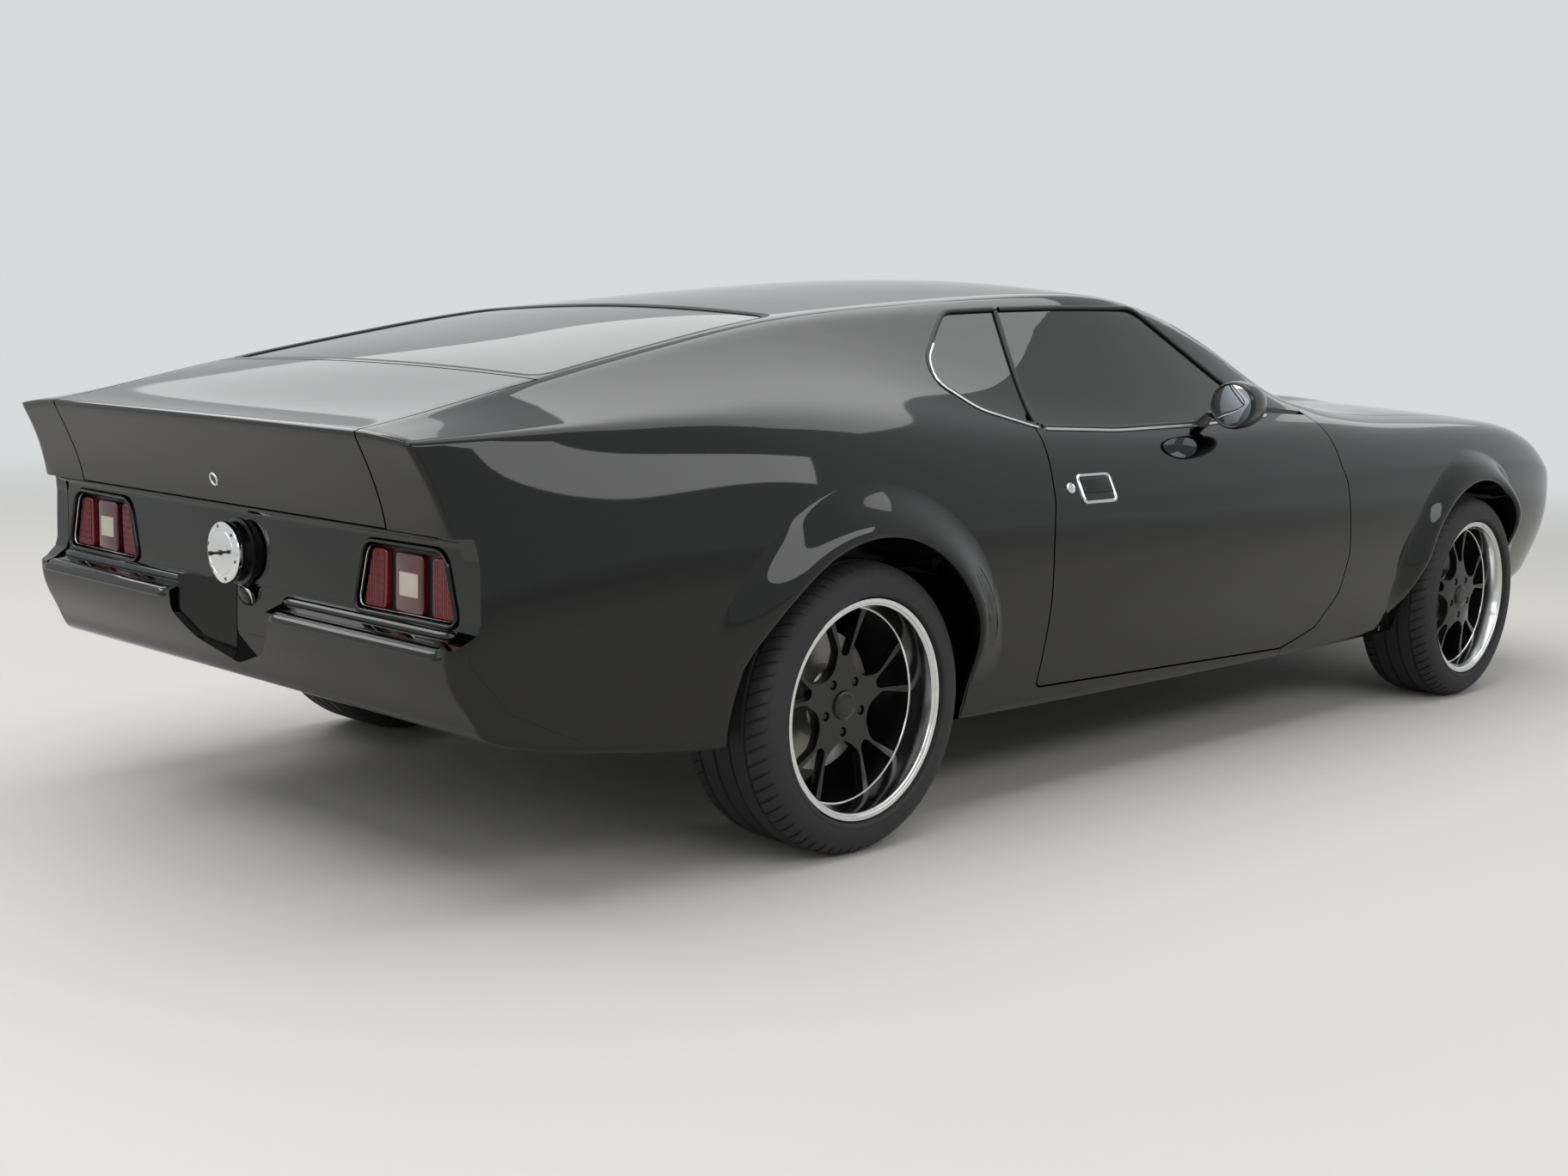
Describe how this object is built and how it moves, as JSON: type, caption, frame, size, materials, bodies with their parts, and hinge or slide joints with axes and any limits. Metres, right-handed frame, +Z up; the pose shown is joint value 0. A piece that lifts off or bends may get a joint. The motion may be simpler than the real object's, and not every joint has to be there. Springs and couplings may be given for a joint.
{
  "type": "muscle car",
  "caption": "Two-door fastback muscle car with a ducktail deck lid, flared wheel arches, split-spoke wheels and opening doors, hood and lid.",
  "frame": {"origin": "on the floor, under the middle of the whole car's length and width", "axes": "+X forward to the nose, +Y to the car's left, +Z up"},
  "size_m": [4.8088, 1.944, 1.2232],
  "materials": {
    "paint": "gloss black",
    "satin_black": "satin",
    "vinyl": "grained black",
    "glass": "dark tint",
    "chrome": "polished",
    "steel": "dark, satin",
    "aluminium": "polished, with black painted spokes",
    "lamp_clear": "clear",
    "lamp_red": "ribbed red",
    "tyre": "satin black rubber"
  },
  "bodies": {
    "body": {"body_shell": "paint", "dashboard": "vinyl", "engine": "steel", "exhaust": "steel", "fender_left": "paint", "fender_right": "paint", "floor_pan": "satin_black", "front_fascia": "paint", "front_subframe": "steel", "fuel_cap": "aluminium", "grille": "satin_black", "headlamp_left": "lamp_clear", "headlamp_right": "lamp_clear", "quarter_glass_left": "glass", "quarter_glass_right": "glass", "rear_axle": "steel", "rear_seat": "vinyl", "rear_valance": "paint", "rear_window": "glass", "seat_left": "vinyl", "seat_right": "vinyl", "tail_lamp_left": "lamp_red", "tail_lamp_right": "lamp_red", "windshield": "glass"},
    "door_left": {"door_left": "paint", "door_glass_left": "glass", "door_handle_left": "chrome", "mirror_left": "paint"},
    "door_right": {"door_right": "paint", "door_glass_right": "glass", "door_handle_right": "chrome", "mirror_right": "paint"},
    "hood": {"hood": "paint"},
    "deck_lid": {"deck_lid": "paint"},
    "steering_wheel": {"steering_wheel": "vinyl"},
    "steer_left": {"knuckle_left": "steel"},
    "steer_right": {"knuckle_right": "steel"},
    "wheel_front_left": {"rim_front_left": "aluminium", "tyre_front_left": "tyre"},
    "wheel_front_right": {"rim_front_right": "aluminium", "tyre_front_right": "tyre"},
    "wheel_rear_left": {"rim_rear_left": "aluminium", "tyre_rear_left": "tyre"},
    "wheel_rear_right": {"rim_rear_right": "aluminium", "tyre_rear_right": "tyre"}
  },
  "joints": [
    {"name": "steer_right_turn", "type": "hinge", "parent": "body", "child": "steer_right", "pos_m": [1.3845, -0.778, 0.31], "axis": [0, 0, 1], "range_deg": [-30, 30]},
    {"name": "steer_left_turn", "type": "hinge", "parent": "body", "child": "steer_left", "pos_m": [1.3845, 0.778, 0.31], "axis": [0, 0, 1], "range_deg": [-30, 30]},
    {"name": "wheel_front_right_spin", "type": "hinge", "parent": "steer_right", "child": "wheel_front_right", "pos_m": [1.3845, -0.945, 0.31], "axis": [0, 1, 0], "continuous": true},
    {"name": "wheel_front_left_spin", "type": "hinge", "parent": "steer_left", "child": "wheel_front_left", "pos_m": [1.3845, 0.945, 0.31], "axis": [0, 1, 0], "continuous": true},
    {"name": "wheel_rear_right_spin", "type": "hinge", "parent": "body", "child": "wheel_rear_right", "pos_m": [-1.3845, -0.923, 0.31], "axis": [0, 1, 0], "continuous": true},
    {"name": "wheel_rear_left_spin", "type": "hinge", "parent": "body", "child": "wheel_rear_left", "pos_m": [-1.3845, 0.923, 0.31], "axis": [0, 1, 0], "continuous": true},
    {"name": "steering_wheel_turn", "type": "hinge", "parent": "body", "child": "steering_wheel", "pos_m": [0.12461, 0.36, 0.765], "axis": [-0.9272, 0, 0.3746], "range_deg": [-480, 480]},
    {"name": "door_right_hinge", "type": "hinge", "parent": "body", "child": "door_right", "pos_m": [0.58703, -0.936, 0.498], "axis": [0, 0, 1], "range_deg": [0, 62]},
    {"name": "door_left_hinge", "type": "hinge", "parent": "body", "child": "door_left", "pos_m": [0.58703, 0.936, 0.498], "axis": [0, 0, -1], "range_deg": [0, 62]},
    {"name": "hood_hinge", "type": "hinge", "parent": "body", "child": "hood", "pos_m": [0.66456, 0, 0.92753], "axis": [0, -1, 0], "range_deg": [0, 50]},
    {"name": "deck_lid_hinge", "type": "hinge", "parent": "body", "child": "deck_lid", "pos_m": [-1.99854, 0, 1.01094], "axis": [0, 1, 0], "range_deg": [0, 45]}
  ],
  "couplings": [
    {"joint": "steer_left_turn", "follows": "steer_right_turn", "ratio": 1},
    {"joint": "steering_wheel_turn", "follows": "steer_right_turn", "ratio": 16}
  ]
}
